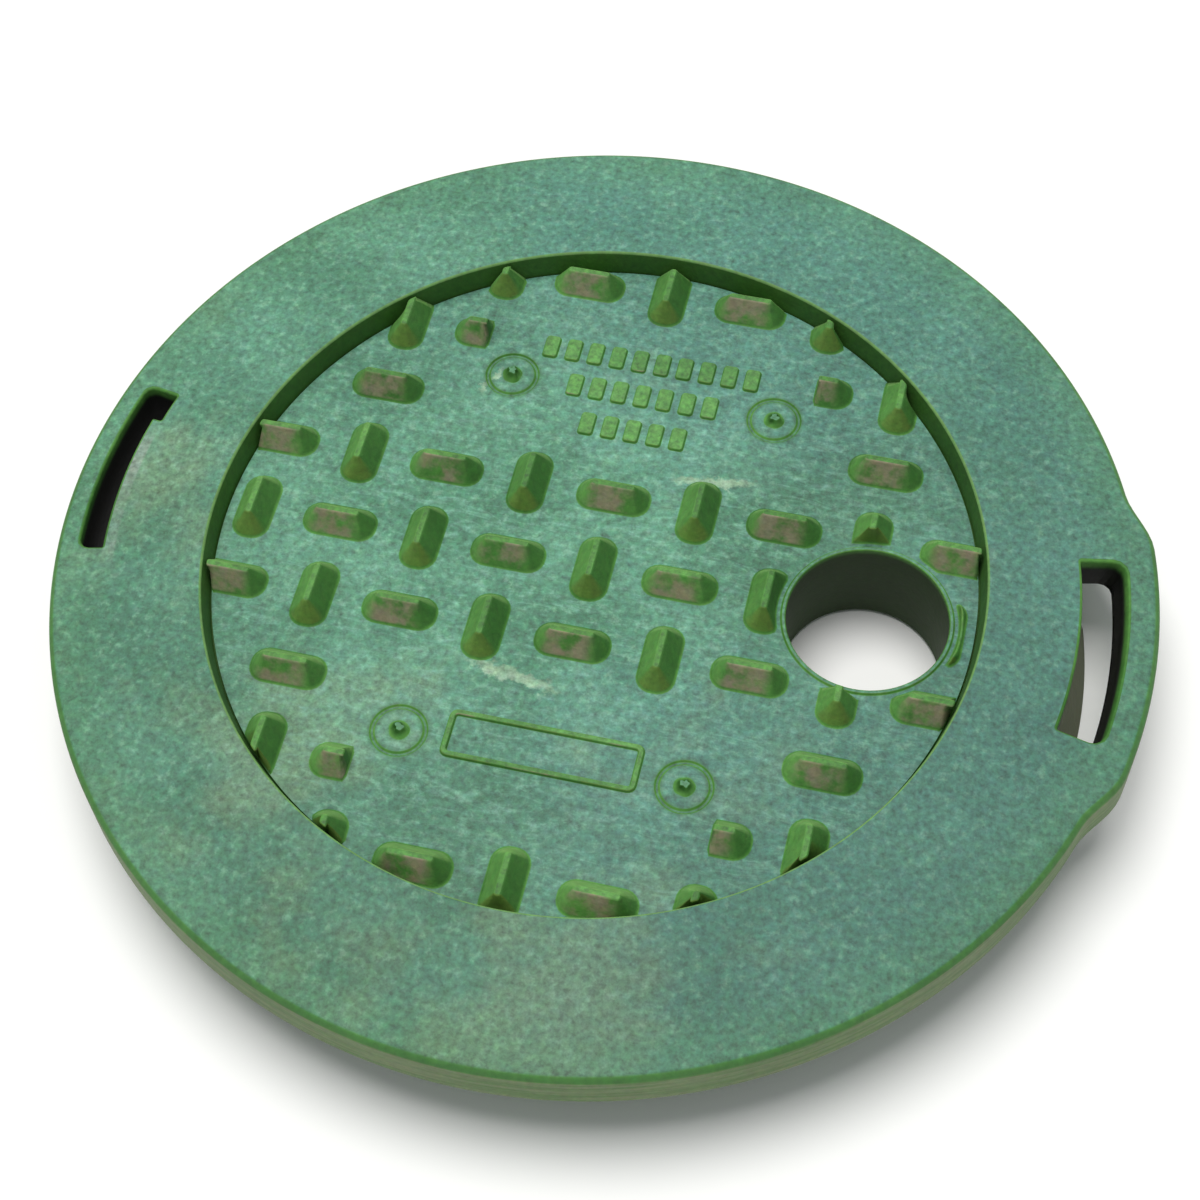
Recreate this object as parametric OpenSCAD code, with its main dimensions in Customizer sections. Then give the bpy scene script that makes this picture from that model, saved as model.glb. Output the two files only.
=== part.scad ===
// Overlapping cover for a round in-ground valve box, resting on its skirt.
// Two loose pieces: a wide overlap ring that slips over the box, and a studded
// tread lid that drops into the ring's recess and lifts out by its finger hole.
// The origin is on the cover's axis, on the surface that it rests on. +Z is up.
// +X runs along the stud rows and through both fixing slots, towards the lug.

/* [Overall] */
// Outer diameter of the rim, without the lug
rim_d = 270; // [262:2:280]
// Height from the resting surface to the top of the ring
total_h = 35; // [34:1:40]

/* [Rim] */
// Height of the rim's outer side
rim_h = 15; // [12:1:16]
// Thickness of the rim's plate and outer side
rim_wall = 4; // [3:0.5:5]
// How far the rim's top falls from the recess to its outer edge
rim_fall = 2.5; // [0.5:0.5:3]
// Radius of the rim's rounded top edge
rim_round = 2; // [1:0.5:3]

/* [Lug] */
// How far the lug stands out from the rim
lug_out = 4; // [2:0.5:6]
// Half of the angle that the lug's outer face covers
lug_half_angle = 13.5; // [13:0.5:16]
// Angle that each sloping flank of the lug takes
lug_flank_angle = 7; // [3:0.5:7]
// Angle from +X to the middle of the lug and of the slot beside it
lug_turn = 0.5; // [0:0.1:2.5]

/* [Fixing slots] */
// Inner radius of the slot beside the lug
lug_slot_in_r = 120; // [119.5:0.5:121]
// Outer radius of the slot beside the lug, at the top
lug_slot_out_r = 131; // [129.5:0.5:131]
// How far that slot's outer wall leans in over its depth
lug_slot_lean = 3; // [1:0.5:4]
// Depth of that slot's walls below the ring's top
lug_slot_depth = 12; // [10:1:14]
// Inner radius of the opposite slot
far_slot_in_r = 123; // [121.5:0.5:123]
// Outer radius of the opposite slot
far_slot_out_r = 129; // [128.5:0.5:129.5]
// Half of the angle that each slot covers
slot_half_angle = 11.5; // [9:0.5:12]
// Size of the corner cut at each slot's outer ends
slot_corner = 2; // [0.5:0.5:3]
// Angle from -X to the middle of the opposite slot
far_slot_turn = -0.9; // [-1.5:0.1:0]
// Depth of the opposite slot's walls below the ring's top
far_slot_depth = 20; // [14:1:20]
// Thickness of the floor that closes the opposite slot
far_slot_floor = 2; // [1.5:0.5:4]

/* [Skirt] */
// Outer radius of the skirt where it leaves the rim
skirt_top_r = 119; // [117:0.5:119.5]
// Outer radius of the skirt at its foot
skirt_foot_r = 125.5; // [123:0.5:127]
// Thickness of the skirt
skirt_wall = 3; // [2.5:0.5:4]

/* [Recess] */
// Diameter of the recess at the ring's top
recess_top_d = 194; // [193:1:198]
// Diameter of the recess at the lid's top
recess_foot_d = 191; // [189:1:192]
// Depth of the recess from the ring's top to the lid's panel
recess_depth = 6.5; // [5:0.5:8]
// Width of the ledge that carries the lid
ledge_w = 6; // [5:0.5:9]

/* [Tread lid] */
// Thickness of the lid's panel
panel_t = 4.5; // [3.5:0.5:5]
// Gap between the lid's edge and the ring
lid_gap = 0.4; // [0.3:0.05:0.6]

/* [Studs] */
// Distance between neighbouring stud centres
stud_pitch = 22; // [21:0.5:22.5]
// Length of a stud at its foot
stud_l = 19; // [16:0.5:19.5]
// Width of a stud at its foot
stud_w = 9.5; // [7:0.5:10]
// Width of a stud's narrow top
stud_top_w = 2.5; // [1:0.5:4]
// Length of a stud's narrow top
stud_top_l = 12; // [11:1:17]
// Height of a stud above the panel
stud_h = 6; // [3:0.5:6]

/* [Finger hole] */
// Diameter of the finger hole
hole_d = 40; // [36:1:42]
// Distance from the cover's axis to the hole's centre
hole_x = 69; // [66:0.5:70]
// Wall of the sleeve that lines the hole
sleeve_wall = 3; // [2:0.5:3.5]
// Height of the small lip around the hole
lip_h = 0.6; // [0.4:0.1:1]

/* [Hidden] */
$fn = 96;
fine_fn = 240;               // segments in the cover's large circles
small_fn = 32;               // segments in small corners and pins

rim_r = rim_d / 2;
rim_low = total_h - rim_h;
plate_low = total_h - rim_wall;
edge_top = total_h - rim_fall;
panel_top = total_h - recess_depth;
panel_low = panel_top - panel_t;
lid_r = recess_foot_d / 2 - lid_gap / 2;
seat_r = lid_r + lid_gap;
ledge_t = 3.5;
hub_wall = 3.5;
wall_slope = (recess_top_d / 2 - seat_r) / recess_depth;
stud_reach = lid_r - 0.1;    // studs at the recess wall end here and follow its slope
over = 1;                    // how far each cutter runs past the face that it cuts
sink = 0.5;                  // how far a joined shape runs into its neighbour

lug_fall = 0.5;              // how far the lug's top lies below the rim's edge
slot_wall = 3;               // wall that lines each slot under the rim
slot_wall_angle = 1.5;       // the same wall at the slot's ends, as an angle
entry_r = 120.5;             // inner radius of the far slot's wide entry end
entry_angle = 4;             // angle that the entry end covers
notch_start = 12;            // skirt notch beside each slot, from its centre line
notch_angle = 14;

grid_n = 4;                  // studs on each side of the middle one
blank_half_x = 44;           // the plain bands above and below the middle rows
blank_low_y = 34;
blank_high_y = 75;
collar_clear = 2.6;          // studs stop this far from the hole
lip_w = 1;                   // width of the lip round the hole

gate_x = 35;                 // moulding gate marks
gate_y = 54.5;
gate_r = 7;
gate_groove_w = 1.2;
gate_groove_d = 0.5;
pip_r = 1.8;
pip_top_r = 0.9;
pip_h = 2;

relief_h = 0.8;              // plain raised pads where a maker would put words
pad_w = 4;
pad_h = 7;
pad_step = 6;
pad_rows = [[10, 65.5], [7, 54.5], [5, 43]];   // pads in the row, and its y
name_pad_w = 48;
name_pad_h = 13;
name_pad_line = 1.6;
name_pad_y = -52.5;

rib_t = 3;                   // stiffening ribs under the lid
rib_h = 12;
rib_ring_r = 42;
rib_count = 6;
rib_gap = 1;                 // the ribs end this far inside the ledge
sleeve_low = 0.5;            // the sleeve ends just above the resting surface
notch_gap = 0.5;             // clearance between the sleeve and the ledge

// ---------- small shapes ----------

// A pie slice from angle a0 to a1, out to radius r.
module slice(r, a0, a1) {
    far = r / cos((a1 - a0) / 2);
    polygon([[0, 0], far * [cos(a0), sin(a0)], far * [cos((a0 + a1) / 2), sin((a0 + a1) / 2)],
             far * [cos(a1), sin(a1)]]);
}

// The straight sides of a slot centred on +X, with its outer corners cut off.
module slot_sides(r_out, half, corner) {
    reach = r_out * (1 / cos(half) - 1) + over;
    side = [cos(half), sin(half)];
    start = (r_out - corner) * side;
    tip = (r_out + reach) * side + (corner + reach) * [sin(half), -cos(half)];
    polygon([[0, 0], [start.x, -start.y], [tip.x, -tip.y], tip, start]);
}

// A curved slot centred on +X.
module slot_outline(r_in, r_out, half, corner) {
    difference() {
        intersection() {
            circle(r = r_out, $fn = fine_fn);
            slot_sides(r_out, half, corner);
        }
        circle(r = r_in, $fn = fine_fn);
    }
}

// A ring of the given radii between two heights.
module band(r_in, r_out, z0, z1) {
    translate([0, 0, z0]) difference() {
        cylinder(r = r_out, h = z1 - z0, $fn = fine_fn);
        translate([0, 0, -over]) cylinder(r = r_in, h = z1 - z0 + 2 * over, $fn = fine_fn);
    }
}

// ---------- overlap ring ----------

// Half section of the rim, recess wall and ledge.
module rim_section() {
    difference() {
        polygon([[recess_top_d / 2, total_h], [rim_r, edge_top], [rim_r, rim_low],
                 [rim_r - rim_wall, rim_low], [rim_r - rim_wall, plate_low - rim_fall],
                 [seat_r + hub_wall, plate_low - rim_fall], [seat_r + hub_wall, panel_low - ledge_t],
                 [lid_r - ledge_w, panel_low - ledge_t], [lid_r - ledge_w, panel_low],
                 [seat_r, panel_low], [seat_r, panel_top]]);
        translate([rim_r - rim_round, edge_top - rim_round]) difference() {
            square(rim_round + over);
            circle(r = rim_round, $fn = small_fn);
        }
    }
}

module skirt() {
    difference() {
        rotate_extrude($fn = fine_fn)
            polygon([[skirt_top_r, plate_low - rim_fall], [skirt_top_r, rim_low],
                     [skirt_foot_r, 0], [skirt_foot_r - skirt_wall, 0],
                     [skirt_top_r - skirt_wall, rim_low],
                     [skirt_top_r - skirt_wall, plate_low - rim_fall]]);
        for (turn = [0, 180])
            rotate(turn) translate([0, 0, -over]) linear_extrude(rim_low)
                slice(skirt_foot_r + over, notch_start, notch_start + notch_angle);
    }
}

// The bulge that leaves a full wall outside the slot beside it. Its two flanks
// are one straight line each, from inside the rim to a point on +X.
module lug() {
    r = rim_r + lug_out;
    foot = lug_half_angle + lug_flank_angle;
    low = rim_r * [cos(foot), sin(foot)];
    high = r * [cos(lug_half_angle), sin(lug_half_angle)];
    slope = (high.x - low.x) / (low.y - high.y);
    root = low - over * [slope, -1];
    translate([0, 0, rim_low + lug_fall]) linear_extrude(edge_top - 2 * lug_fall - rim_low) difference() {
        intersection() {
            circle(r = r, $fn = fine_fn);
            polygon([[0, 0], [root.x, -root.y], [high.x + slope * high.y, 0], root]);
        }
        circle(r = rim_r - rim_wall / 2, $fn = fine_fn);
    }
}

// Walls that line a slot under the rim's plate, down to the height z0.
module slot_lining(r_out, z0) {
    translate([0, 0, z0]) linear_extrude(plate_low - rim_fall + sink - z0)
        slot_outline(skirt_top_r - over, r_out + slot_wall, slot_half_angle + slot_wall_angle, slot_corner);
}

module lug_slot_cut() {
    lean = lug_slot_lean / (edge_top - rim_low);
    low = rim_low - over;
    high = total_h + over;
    intersection() {
        rotate_extrude($fn = fine_fn)
            polygon([[lug_slot_in_r, low], [lug_slot_out_r + lean * (low - edge_top), low],
                     [lug_slot_out_r + lean * (high - edge_top), high], [lug_slot_in_r, high]]);
        translate([0, 0, low - over]) linear_extrude(high - low + 2 * over)
            slot_sides(lug_slot_out_r, slot_half_angle, slot_corner);
    }
}

// The far slot is a pocket, wider at one end, where a tab would enter.
module far_slot_cut() {
    low = total_h - far_slot_depth + far_slot_floor;
    translate([0, 0, low]) linear_extrude(total_h + over - low) difference() {
        slot_outline(entry_r, far_slot_out_r, slot_half_angle, slot_corner);
        intersection() {
            circle(r = far_slot_in_r, $fn = fine_fn);
            slice(far_slot_out_r, entry_angle - slot_half_angle, slot_half_angle + slot_wall_angle);
        }
    }
}

// The ledge is cut away round the lid's sleeve, which also keys the lid in place.
module sleeve_notch() {
    translate([hole_x, 0, panel_low - ledge_t - over])
        cylinder(d = hole_d + 2 * (sleeve_wall + notch_gap), h = ledge_t + 2 * over);
}

module overlap_ring() {
    color("mediumseagreen") difference() {
        union() {
            rotate_extrude($fn = fine_fn) rim_section();
            skirt();
            rotate(lug_turn) lug();
            rotate(lug_turn) slot_lining(lug_slot_out_r, total_h - lug_slot_depth);
            rotate(180 + far_slot_turn) slot_lining(far_slot_out_r, total_h - far_slot_depth);
        }
        rotate(lug_turn) lug_slot_cut();
        rotate(180 + far_slot_turn) far_slot_cut();
        sleeve_notch();
    }
}

// ---------- tread lid ----------

// One stud, lying along X: a tapered loaf with round ends and a narrow top.
module stud() {
    intersection() {
        rotate([90, 0, 90]) linear_extrude(stud_l, center = true)
            polygon([[-stud_w / 2, -sink], [stud_w / 2, -sink], [stud_w / 2, 0],
                     [stud_top_w / 2, stud_h], [-stud_top_w / 2, stud_h], [-stud_w / 2, 0]]);
        rotate([90, 0, 0]) linear_extrude(stud_w, center = true)
            polygon([[-stud_l / 2, -sink], [stud_l / 2, -sink], [stud_l / 2, 0],
                     [stud_top_l / 2, stud_h], [-stud_top_l / 2, stud_h], [-stud_l / 2, 0]]);
        translate([0, 0, -sink]) linear_extrude(stud_h + sink) {
            square([stud_l - stud_w, stud_w], center = true);
            for (s = [-1, 1]) translate([s * (stud_l - stud_w) / 2, 0]) circle(d = stud_w, $fn = small_fn);
        }
    }
}

// Where the basket weave has a stud: everywhere but the two plain bands,
// the hole, and the places beyond the lid's edge.
function has_stud(i, j) =
    let (x = i * stud_pitch, y = j * stud_pitch, r = norm([x, y]),
         banded = abs(i) < 2 && (abs(j) == 2 || abs(j) == 3) || abs(i) == 2 && abs(j) == 2)
    !banded && !(i == 3 && j == 0) && (r < lid_r || abs(j) == 4 && abs(i) == 2);

module stud_field() {
    intersection() {
        for (i = [-grid_n : grid_n], j = [-grid_n : grid_n])
            if (has_stud(i, j))
                translate([i * stud_pitch, j * stud_pitch, panel_top])
                    rotate(((i + j) % 2 == 0) ? 90 : 0) stud();
        translate([0, 0, panel_top - over])
            cylinder(r1 = stud_reach - over * wall_slope, r2 = stud_reach + (stud_h + over) * wall_slope,
                     h = stud_h + 2 * over, $fn = fine_fn);
        translate([0, 0, panel_top - over]) linear_extrude(stud_h + 2 * over) difference() {
            square(rim_d, center = true);
            translate([hole_x, 0]) circle(d = hole_d + 2 * collar_clear);
            for (s = [-1, 1]) translate([0, s * (blank_low_y + blank_high_y) / 2])
                square([2 * blank_half_x, blank_high_y - blank_low_y], center = true);
        }
    }
}

module gate_mark_cut() {
    band(gate_r - gate_groove_w, gate_r, panel_top - gate_groove_d, panel_top + over);
}

module relief() {
    for (row = pad_rows, k = [0 : row[0] - 1])
        translate([(k - (row[0] - 1) / 2) * pad_step - pad_w / 2, row[1] - pad_h / 2, panel_top - over])
            cube([pad_w, pad_h, relief_h + over]);
    translate([0, name_pad_y, panel_top - over]) linear_extrude(relief_h + over) difference() {
        square([name_pad_w, name_pad_h], center = true);
        square([name_pad_w - 2 * name_pad_line, name_pad_h - 2 * name_pad_line], center = true);
    }
}

module lid_ribs() {
    reach = lid_r - ledge_w - rib_gap;
    for (k = [0 : rib_count - 1]) rotate((k + 0.5) * 360 / rib_count)
        translate([0, -rib_t / 2, panel_low - rib_h]) cube([reach, rib_t, rib_h + over]);
    band(rib_ring_r - rib_t, rib_ring_r, panel_low - rib_h, panel_low + over);
}

module tread_lid() {
    color("seagreen") difference() {
        union() {
            translate([0, 0, panel_low]) cylinder(r = lid_r, h = panel_t, $fn = fine_fn);
            stud_field();
            relief();
            for (x = [-gate_x, gate_x], y = [-gate_y, gate_y])
                translate([x, y, panel_top - over])
                    cylinder(r1 = pip_r, r2 = pip_top_r, h = pip_h + over, $fn = small_fn);
            translate([hole_x, 0, sleeve_low])
                cylinder(d = hole_d + 2 * sleeve_wall, h = panel_low - sleeve_low + over);
            translate([hole_x, 0, panel_top - over]) cylinder(d = hole_d + 2 * lip_w, h = lip_h + over);
            lid_ribs();
        }
        translate([hole_x, 0, -over]) cylinder(d = hole_d, h = total_h + 2 * over);
        for (x = [-gate_x, gate_x], y = [-gate_y, gate_y]) translate([x, y, 0]) gate_mark_cut();
    }
}

overlap_ring();
tread_lid();
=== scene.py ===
# %% [markdown]
# # The cover of a round valve box
#
# The cover is two loose mouldings of green plastic. A wide ring slips over a buried valve box, and a
# studded lid drops into the ring's recess. You lift the lid with a finger in its hole.
#
# The shapes and sizes come from a CAD model, and this script gives them their looks. It builds each
# moulding again as a finer mesh, because a mould leaves soft edges and the CAD model has sharp ones.
# Read the cells from top to bottom: each makes one thing, and says why it is made that way.

# %% Load the frame
import math

import bmesh
import bpy
import numpy as np
from mathutils import Matrix, Vector
from mathutils.geometry import delaunay_2d_cdt


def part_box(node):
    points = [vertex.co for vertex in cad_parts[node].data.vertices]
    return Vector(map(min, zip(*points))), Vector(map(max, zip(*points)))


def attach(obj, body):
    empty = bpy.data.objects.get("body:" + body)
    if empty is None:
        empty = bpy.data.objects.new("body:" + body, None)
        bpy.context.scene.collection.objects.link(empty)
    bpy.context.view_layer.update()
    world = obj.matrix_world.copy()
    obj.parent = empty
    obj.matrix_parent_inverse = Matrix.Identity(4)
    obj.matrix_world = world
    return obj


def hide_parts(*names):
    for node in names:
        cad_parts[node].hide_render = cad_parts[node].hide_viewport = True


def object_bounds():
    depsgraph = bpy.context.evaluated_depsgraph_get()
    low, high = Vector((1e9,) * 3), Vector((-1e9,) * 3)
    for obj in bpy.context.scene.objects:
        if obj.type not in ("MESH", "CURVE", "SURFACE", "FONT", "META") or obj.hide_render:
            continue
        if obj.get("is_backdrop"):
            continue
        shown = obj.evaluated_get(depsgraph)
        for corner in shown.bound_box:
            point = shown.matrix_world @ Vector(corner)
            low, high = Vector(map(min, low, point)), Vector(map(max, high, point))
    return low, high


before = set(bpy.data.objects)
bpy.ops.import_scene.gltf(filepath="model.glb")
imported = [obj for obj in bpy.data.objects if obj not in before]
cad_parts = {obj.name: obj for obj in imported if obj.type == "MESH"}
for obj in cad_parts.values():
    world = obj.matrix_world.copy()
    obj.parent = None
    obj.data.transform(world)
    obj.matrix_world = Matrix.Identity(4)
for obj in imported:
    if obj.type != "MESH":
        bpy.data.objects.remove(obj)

cad_box = [list(corner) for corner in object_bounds()]
print("CAD box in metres:", cad_box)

# %% [markdown]
# ## Sizes
#
# All shapes below are worked out in millimetres, as on a mould drawing, and turned into metres when a
# mesh is made. The outer sizes are read from the frame, so they can't drift away from the CAD model.

# %% Sizes in millimetres
MM = 0.001
ring_low, ring_high = (np.array(corner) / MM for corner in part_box("overlap_ring"))
lid_low, lid_high = (np.array(corner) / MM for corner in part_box("tread_lid"))

RIM_R = -ring_low[1]               # rim, without the lug
TOP = ring_high[2]                 # the ring's top, where the recess begins
LUG_OUT = ring_high[0] - RIM_R     # how far the lug stands out
SLEEVE_LOW = lid_low[2]            # lower end of the sleeve round the finger hole

RIM_FALL = 2.5                     # the ring's top falls this much towards its outer edge
LUG_TURN, FAR_TURN = 0.5, 179.1    # degrees from the stud rows to the middle of each slot
RECESS_R = 97.0                    # recess at the ring's top
SEAT_R = 95.7                      # recess at the lid
PANEL = 28.5                       # top of the lid's panel
PANEL_LOW = 24.0                   # its underside
LID_R = 95.3                       # the lid's edge
HOLE_X, HOLE_R = 69.0, 20.0        # finger hole: distance from the axis, and radius
PITCH = 22.0                       # studs stand on a square grid
GATE_X, GATE_Y = 35.0, 54.5        # the four gate marks lie at plus and minus these
print("rim radius", round(RIM_R, 2), "top", round(TOP, 2), "lug", round(LUG_OUT, 2))

# %% [markdown]
# ## A skin of loops
#
# Most of a moulding's surface can be described by closed loops of points, stacked like the hoops of a
# barrel. The skin below collects loops and joins neighbours with four-sided faces. This gives even
# faces and exact fillets, where cutting one shape out of another would leave ragged triangles.

# %% The skin
class Skin:
    """Points in millimetres and the faces between them, which become one mesh."""

    def __init__(self):
        self.points, self.faces = [], []

    def loop(self, xy, z):
        """Adds a closed loop and returns the numbers of its points."""
        first = len(self.points)
        self.points += [(x, y, h) for (x, y), h in zip(xy, np.broadcast_to(z, len(xy)))]
        return list(range(first, len(self.points)))

    def bridge(self, one, other):
        """Joins two loops of the same length."""
        count = len(one)
        for k in range(count):
            ahead = (k + 1) % count
            self.faces.append((one[k], one[ahead], other[ahead], other[k]))

    def stack(self, loops):
        """Joins each loop to the next, and returns the first and the last."""
        for one, other in zip(loops, loops[1:]):
            self.bridge(one, other)
        return loops[0], loops[-1]

    def mesh(self, name):
        """The finished object, welded, with its faces turned outwards."""
        mesh = bpy.data.meshes.new(name)
        mesh.from_pydata([(x * MM, y * MM, z * MM) for x, y, z in self.points], [], self.faces)
        work = bmesh.new()
        work.from_mesh(mesh)
        bmesh.ops.remove_doubles(work, verts=work.verts, dist=0.002 * MM)
        bmesh.ops.recalc_face_normals(work, faces=work.faces)
        open_edges = sum(not edge.is_manifold for edge in work.edges)
        work.to_mesh(mesh)
        work.free()
        piece = bpy.data.objects.new(name, mesh)
        bpy.context.scene.collection.objects.link(piece)
        print(f"{name}: {len(mesh.polygons)} faces, {open_edges} open edges")
        return piece


def circle(radius, count, centre=(0.0, 0.0)):
    """Points on a circle."""
    turn = np.linspace(0, 2 * math.pi, count, endpoint=False)
    return np.array(centre) + radius * np.column_stack([np.cos(turn), np.sin(turn)])

# %% [markdown]
# ## Soft corners
#
# Molten plastic doesn't fill a sharp corner, and a sharp edge on a cover would cut a hand. So every
# section is drawn with corners first, and each corner is then swapped for a short arc. A bevel
# modifier could do this too, but it gives no say over each radius.

# %% Round the corners of a section
def rounded(corners, closed=False, step=22.5):
    """Corners given as (across, up, radius) become points along straight runs and arcs."""
    out, count = [], len(corners)
    for k, (across, up, radius) in enumerate(corners):
        here = np.array((across, up), float)
        if radius == 0 or not closed and k in (0, count - 1):
            out.append(here)
            continue
        back = np.array(corners[k - 1][:2]) - here
        ahead = np.array(corners[(k + 1) % count][:2]) - here
        back, ahead = back / np.linalg.norm(back), ahead / np.linalg.norm(ahead)
        half = math.acos(np.clip(back @ ahead, -1, 1)) / 2
        centre = here + (back + ahead) / np.linalg.norm(back + ahead) * radius / math.sin(half)
        spoke = here + back * radius / math.tan(half) - centre
        turn = math.pi - 2 * half
        if back[0] * ahead[1] - back[1] * ahead[0] > 0:
            turn = -turn
        parts = max(1, round(abs(math.degrees(turn)) / step))
        for part in range(parts + 1):
            a = turn * part / parts
            out.append(centre + (spoke[0] * math.cos(a) - spoke[1] * math.sin(a),
                                 spoke[0] * math.sin(a) + spoke[1] * math.cos(a)))
    return np.array(out)

# %% [markdown]
# ## The ring's body
#
# The ring is turned, apart from its lug, slots and notches: one section, swept round the axis. The lug
# is a place where the section's outer part moves out by up to 4 mm, so it is made by the same sweep,
# and its flanks flow out of the rim as they do on the moulding.

# %% The ring's section
RIM_LOW = TOP - 15.0               # foot of the rim's outer side
PLATE_LOW = TOP - 4.0 - RIM_FALL   # underside of the rim's plate
LEDGE_LOW = 20.5                   # underside of the ledge that carries the lid

ring_section = rounded([
    (RECESS_R, TOP, 0.9), (RIM_R, TOP - RIM_FALL, 2.2), (RIM_R, RIM_LOW, 0.9),
    (RIM_R - 4, RIM_LOW, 0.9), (RIM_R - 4, PLATE_LOW, 1.0), (119, PLATE_LOW, 1.0), (119, RIM_LOW, 6.0),
    (125.5, 0, 0.7), (122.5, 0, 0.7), (116, RIM_LOW, 6.0), (116, PLATE_LOW, 1.0), (99.2, PLATE_LOW, 1.0),
    (99.2, LEDGE_LOW, 0.7), (89.3, LEDGE_LOW, 0.7), (89.3, PANEL_LOW, 0.5), (SEAT_R, PANEL_LOW, 0),
    (SEAT_R, PANEL, 0)], closed=True)
print("section points:", len(ring_section))

# %% Sweep the section, with the lug
LUG_END, LUG_FLANK = 20.5, 7       # degrees from the lug's middle to its end, and along one flank


def ease(value):
    """A smooth step from 0 to 1."""
    value = np.clip(value, 0, 1)
    return value * value * (3 - 2 * value)


def lug_out(turn):
    """How far the rim's outer side stands out at an angle in degrees from the slot beside it."""
    away = np.abs((turn - LUG_TURN + 180) % 360 - 180)
    return LUG_OUT * ease((LUG_END - away) / LUG_FLANK)


def swept_ring():
    """The section carried round the axis in steps of one degree."""
    skin, turns = Skin(), np.arange(0, 360, 1.0)
    way = np.column_stack([np.cos(np.radians(turns)), np.sin(np.radians(turns))])
    loops = []
    for radius, z in ring_section:
        moves = radius > RIM_R - 3.2           # the outer side moves, the rim's inner side doesn't
        reach = radius + (lug_out(turns) if moves else 0 * turns)
        loops.append(skin.loop(way * reach[:, None], z))
    skin.stack(loops + loops[:1])
    return skin.mesh("overlap_ring_moulding")


ring = swept_ring()

# %% [markdown]
# ## Slots, their lined walls, and the notches
#
# The slot beside the lug goes right through the rim, and the far one is a pocket with a floor. Both have
# walls of their own under the rim. The walls are added first and the slots are cut last, with the boolean
# modifier. The cutter is wider at its mouth, along a quarter circle, so that it leaves a rounded edge
# behind, as a router bit with a round-over does.

# %% Outlines for slots
def slot_outline(r_in, r_out, half, corner, entry=None):
    """A curved slot centred on +X, as points. entry is (angle, radius) of a wider end, if it has one."""
    outer = [(r_out, half), (r_out, -half)]
    inner = [(r_in, -half), (r_in, half)]
    if entry:
        angle, radius = entry
        inner = [(radius, -half), (radius, angle - half), (r_in, angle - half), (r_in, half)]
    flat = [(r * math.radians(t), r, corner if r == r_out else 0.35) for r, t in outer + inner]
    flat = rounded(flat, closed=True, step=30)
    dense = []
    for here, ahead in zip(flat, np.roll(flat, -1, axis=0)):
        parts = max(1, round(np.linalg.norm(ahead - here) / 2.5))
        dense += [here + (ahead - here) * k / parts for k in range(parts)]
    return np.array([(r * math.cos(s / r), r * math.sin(s / r)) for s, r in dense])


def offset(loop, out):
    """The loop moved outwards by a distance, corner by corner."""
    back, ahead = np.roll(loop, 1, axis=0), np.roll(loop, -1, axis=0)
    side_a, side_b = loop - back, ahead - loop
    side_a /= np.linalg.norm(side_a, axis=1)[:, None]
    side_b /= np.linalg.norm(side_b, axis=1)[:, None]
    normal = side_a + side_b
    normal = np.column_stack([normal[:, 1], -normal[:, 0]])
    normal /= np.linalg.norm(normal, axis=1)[:, None]
    area = 0.5 * np.sum(loop[:, 0] * ahead[:, 1] - ahead[:, 0] * loop[:, 1])
    cosine = np.clip(normal[:, 0] * side_a[:, 1] - normal[:, 1] * side_a[:, 0], 0.5, 1)
    return loop + normal * (np.sign(area) * out / np.abs(cosine))[:, None]


def prism(name, rows):
    """A closed solid through (loop, height) rows."""
    skin = Skin()
    first, last = skin.stack([skin.loop(xy, z) for xy, z in rows])
    skin.faces += [tuple(first), tuple(last)]
    return skin.mesh(name)

# %% Boolean helper
def combine(piece, tool, operation):
    """Applies one boolean to the piece and deletes the tool."""
    change = piece.modifiers.new(operation, "BOOLEAN")
    change.operation, change.solver, change.object = operation, "MANIFOLD", tool
    bpy.context.view_layer.update()
    ready = piece.evaluated_get(bpy.context.evaluated_depsgraph_get())
    mesh = bpy.data.meshes.new_from_object(ready)
    piece.modifiers.clear()
    piece.data, old = mesh, piece.data
    bpy.data.meshes.remove(old)
    bpy.data.objects.remove(tool)
    return piece


def turned(rows, degrees):
    """The same rows, turned about the cover's axis."""
    a = math.radians(degrees)
    spin = np.array([[math.cos(a), math.sin(a)], [-math.sin(a), math.cos(a)]])
    return [(np.asarray(xy) @ spin, z) for xy, z in rows]


def ring_top(xy):
    """Height of the ring's sloping top above a point."""
    reach = np.hypot(*np.asarray(xy).T)
    return TOP - RIM_FALL * (reach - RECESS_R) / (RIM_R - RECESS_R)

# %% Line and cut the two slots
LUG_SLOT, FAR_SLOT = (120, 131), (123, 129)        # inner and outer radius of each slot
SLOT_HALF = 11.5                   # half of the angle that a slot covers
SLOT_WALL = 3.0
LINING_IN = 118                    # inner radius of both linings
FAR_SLOT_LOW = TOP - 18            # the far slot is a closed pocket, and this is its floor
FAR_LINING_LOW = TOP - 20
MOUTH = 0.9                        # radius of the rounded edge at a slot's mouth


def slot_rows(outline, lean, low):
    """A cutter's rows from below the slot up to its rounded mouth. lean moves the outer wall in."""
    rows = []
    middle = np.hypot(*outline.T).mean()
    for z in (low, TOP - RIM_FALL - MOUTH - 0.2):
        share = lean * (TOP - RIM_FALL - z) / (TOP - RIM_FALL - RIM_LOW)
        reach = np.hypot(*outline.T)
        pull = np.where(reach > middle, share, 0)
        rows.append((outline * (1 - pull / reach)[:, None], z))
    for a in np.radians([0, 22, 44, 62, 78]):
        loop = offset(outline, MOUTH * (1 - math.cos(a)))
        rows.append((loop, ring_top(loop) - MOUTH * (1 - math.sin(a))))
    loop = offset(outline, MOUTH * 1.15)
    rows.append((loop, ring_top(loop) + 1.5))
    return rows


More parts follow.
